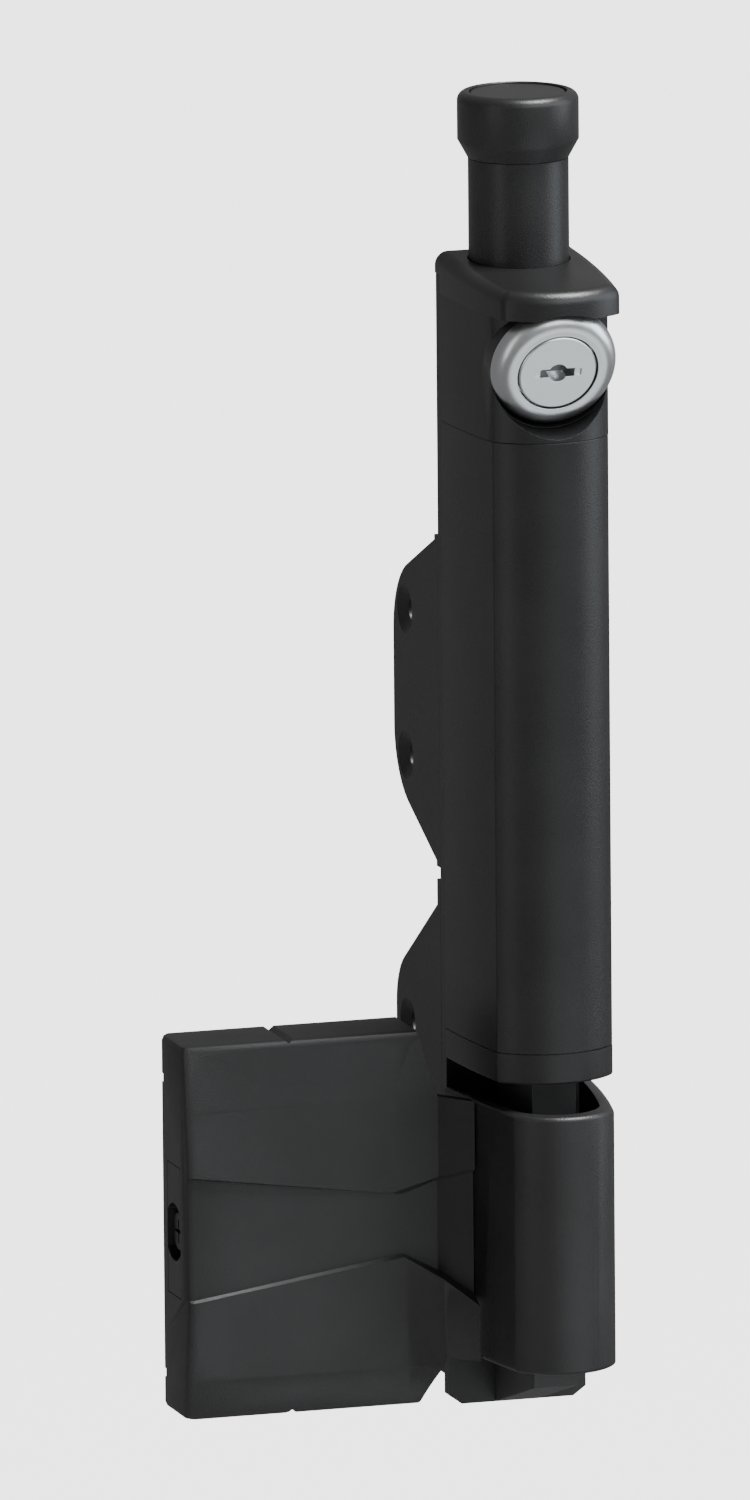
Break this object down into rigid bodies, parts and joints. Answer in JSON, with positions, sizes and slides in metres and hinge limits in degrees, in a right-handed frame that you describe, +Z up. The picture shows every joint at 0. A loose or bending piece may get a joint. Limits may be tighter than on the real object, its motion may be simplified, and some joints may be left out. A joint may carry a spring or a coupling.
{
  "type": "magnetic pool gate latch",
  "caption": "Tall black magnetic gate latch with a lift knob, a key lock, post brackets and a faceted striker whose sleeve rides over the latch's foot.",
  "frame": {"origin": "middle of the lower bracket's front leg, on the face of the gate post", "axes": "+X along the fence away from the gate, +Y back into the post, +Z up"},
  "size_m": [0.1097, 0.0902, 0.3331],
  "materials": {
    "black_moulding": "black satin polymer with a fine grain",
    "inner_moulding": "plain black polymer",
    "black_plate": "black powder coat",
    "satin_silver": "satin silver plated lock",
    "steel": "stainless steel",
    "magnet": "nickel plated magnet"
  },
  "bodies": {
    "latch": {"back_rail": "black_plate", "latch_fin": "inner_moulding", "main_tube": "black_moulding", "bottom_collar": "black_moulding", "top_cap": "black_moulding", "lock_face": "black_moulding", "lock_bezel": "satin_silver", "lock_barrel": "satin_silver", "lock_nut": "satin_silver", "shaft_bush": "inner_moulding", "rod_guide": "inner_moulding", "spring_seat": "steel", "return_spring": "steel", "upper_bracket": "black_plate", "lower_bracket": "black_plate", "bracket_screws": "steel", "rail_screws": "steel"},
    "knob": {"knob_shaft": "black_moulding", "knob_head": "black_moulding", "knob_lid": "black_moulding", "knob_screw": "steel", "pull_rod": "steel", "pin_carrier": "inner_moulding", "latch_pin": "steel", "cross_pins": "steel"},
    "key": {"lock_plug": "satin_silver", "lock_cam": "satin_silver", "cam_screw": "steel"},
    "striker": {"striker_cover": "black_moulding", "gate_plate": "black_plate", "side_insert": "black_moulding", "adjuster_screw": "steel", "keeper_block": "inner_moulding", "keeper_magnet": "magnet", "magnet_lid": "inner_moulding", "keeper_screws": "steel"}
  },
  "joints": [
    {"name": "knob_lift", "type": "slide", "parent": "latch", "child": "knob", "axis": [0, 0, 1], "range_m": [-0.012, 0], "stiffness_N_per_m": 250, "springref_m": 0.02, "deforming": ["return_spring"]},
    {"name": "key_turn", "type": "hinge", "parent": "latch", "child": "key", "pos_m": [0, -0.0416, 0.1992], "axis": [0, -0.9336, -0.3584], "range_deg": [0, 90]},
    {"name": "gate_open", "type": "slide", "parent": "latch", "child": "striker", "axis": [0, -1, 0], "range_m": [0, 0.07]}
  ]
}
